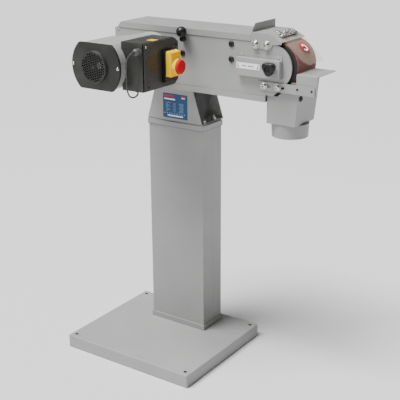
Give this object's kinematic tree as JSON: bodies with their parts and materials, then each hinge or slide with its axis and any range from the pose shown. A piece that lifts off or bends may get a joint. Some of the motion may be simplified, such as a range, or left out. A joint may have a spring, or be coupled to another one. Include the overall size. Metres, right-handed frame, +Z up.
{
  "type": "belt linisher",
  "caption": "Pedestal belt linisher: floor column, long belt head, direct-drive motor, rubber contact wheel with guard, eye shield, work rest and dust spout.",
  "frame": {"origin": "centre of the machine's footprint box, on the floor", "axes": "+Z up along the column, +X along the head towards the contact wheel, -Y towards the motor's fan"},
  "size_m": [0.703, 0.4124, 1.0075],
  "materials": {
    "grey_paint": "smooth satin grey paint",
    "motor_grey": "smooth light grey paint",
    "black_paint": "fine satin black",
    "black_plastic": "moulded black plastic",
    "cable_rubber": "flexible cable sheath",
    "steel": "plated steel",
    "chrome": "bright plated",
    "aluminium": "machined",
    "winding": "laminations and varnished winding",
    "rubber": "dense wheel rubber",
    "abrasive": "coated abrasive cloth",
    "clear_plastic": "clear sheet, slightly tinted",
    "yellow_plastic": "moulded yellow",
    "red_plastic": "moulded red",
    "green_plastic": "moulded green"
  },
  "bodies": {
    "frame": {"base_plate": "grey_paint", "column_foot_collar": "grey_paint", "column_front_channel": "grey_paint", "column_rear_channel": "grey_paint", "column_cap": "grey_paint", "head_bracket": "grey_paint", "bracket_bolt_1": "steel", "bracket_bolt_2": "steel", "head_side_plate": "grey_paint", "head_tray": "grey_paint", "head_end_plate": "grey_paint", "cover_hinge_pin": "steel", "platen": "steel", "platen_screw_1": "black_paint", "platen_screw_2": "black_paint", "motor_housing": "motor_grey", "front_endshield": "motor_grey", "rear_endshield": "aluminium", "stator": "winding", "fan_cover": "black_paint", "tension_spring": "steel", "tracking_cover": "grey_paint", "abrasive_belt": "abrasive", "upper_guard": "grey_paint", "guard_bolt_1": "chrome", "guard_bolt_2": "chrome", "shield_clamp_bar": "steel", "rest_bolt_1": "chrome", "rest_bolt_2": "chrome", "dust_hopper": "grey_paint", "dust_spout": "grey_paint", "switch_box": "black_paint", "switch_box_lid": "black_paint", "switch_base": "black_plastic", "cable_gland": "black_plastic", "motor_cable": "cable_rubber"},
    "drive": {"rotor": "steel", "motor_shaft": "steel", "cooling_fan": "black_plastic", "drive_wheel": "aluminium"},
    "carriage": {"axle_carriage": "steel", "contact_axle": "steel"},
    "contact_wheel": {"contact_wheel_hub": "aluminium", "contact_wheel_tyre": "rubber", "wheel_bearing_near": "steel", "wheel_bearing_far": "steel"},
    "lever": {"tension_lever": "black_paint", "lever_ball": "black_plastic"},
    "knob": {"tracking_knob": "black_plastic"},
    "cover": {"top_cover": "grey_paint"},
    "door": {"rear_door": "grey_paint", "door_knob": "black_plastic"},
    "shield": {"eye_shield": "clear_plastic"},
    "rest": {"rest_arm": "grey_paint", "rest_table": "grey_paint"},
    "flap": {"switch_flap": "yellow_plastic"},
    "stop": {"stop_button": "red_plastic"},
    "start": {"start_button": "green_plastic"}
  },
  "joints": [
    {"name": "drive_spin", "type": "hinge", "parent": "frame", "child": "drive", "pos_m": [-0.1825, 0.01175, 0.899], "axis": [0, 1, 0], "continuous": true},
    {"name": "tension_slide", "type": "slide", "parent": "frame", "child": "carriage", "axis": [1, 0, 0], "range_m": [-0.008, 0], "deforming": ["tension_spring"]},
    {"name": "contact_spin", "type": "hinge", "parent": "carriage", "child": "contact_wheel", "pos_m": [0.2205, 0.01175, 0.899], "axis": [0, 1, 0], "continuous": true},
    {"name": "tension_lever_turn", "type": "hinge", "parent": "frame", "child": "lever", "pos_m": [-0.0735, 0.06195, 0.949], "axis": [0, 1, 0], "range_deg": [0, 90]},
    {"name": "tracking_knob_turn", "type": "hinge", "parent": "frame", "child": "knob", "pos_m": [0.2205, 0.04625, 0.899], "axis": [0, 1, 0], "range_deg": [-180, 180]},
    {"name": "top_cover_hinge", "type": "hinge", "parent": "frame", "child": "cover", "pos_m": [-0.322, 0.12475, 0.956], "axis": [0, -1, 0], "range_deg": [0, 90]},
    {"name": "rear_door_hinge", "type": "hinge", "parent": "frame", "child": "door", "pos_m": [-0.328, 0.18595, 0.899], "axis": [0, 0, 1], "range_deg": [0, 110]},
    {"name": "eye_shield_slide", "type": "slide", "parent": "frame", "child": "shield", "axis": [0.8981, 0, -0.4398], "range_m": [0, 0.012]},
    {"name": "work_rest_slide", "type": "slide", "parent": "frame", "child": "rest", "axis": [1, 0, 0], "range_m": [-0.002, 0.006]},
    {"name": "switch_flap_hinge", "type": "hinge", "parent": "frame", "child": "flap", "pos_m": [-0.0319, -0.05375, 0.933], "axis": [0, -1, 0], "range_deg": [0, 95]},
    {"name": "stop_button_press", "type": "slide", "parent": "flap", "child": "stop", "axis": [-1, 0, 0], "range_m": [0, 0.004], "stiffness_N_per_m": 600},
    {"name": "start_button_press", "type": "slide", "parent": "frame", "child": "start", "axis": [-1, 0, 0], "range_m": [0, 0.003], "stiffness_N_per_m": 500}
  ],
  "couplings": [
    {"joint": "contact_spin", "follows": "drive_spin", "ratio": 1},
    {"joint": "tension_lever_turn", "follows": "tension_slide", "rad_per_m": -196.35}
  ]
}
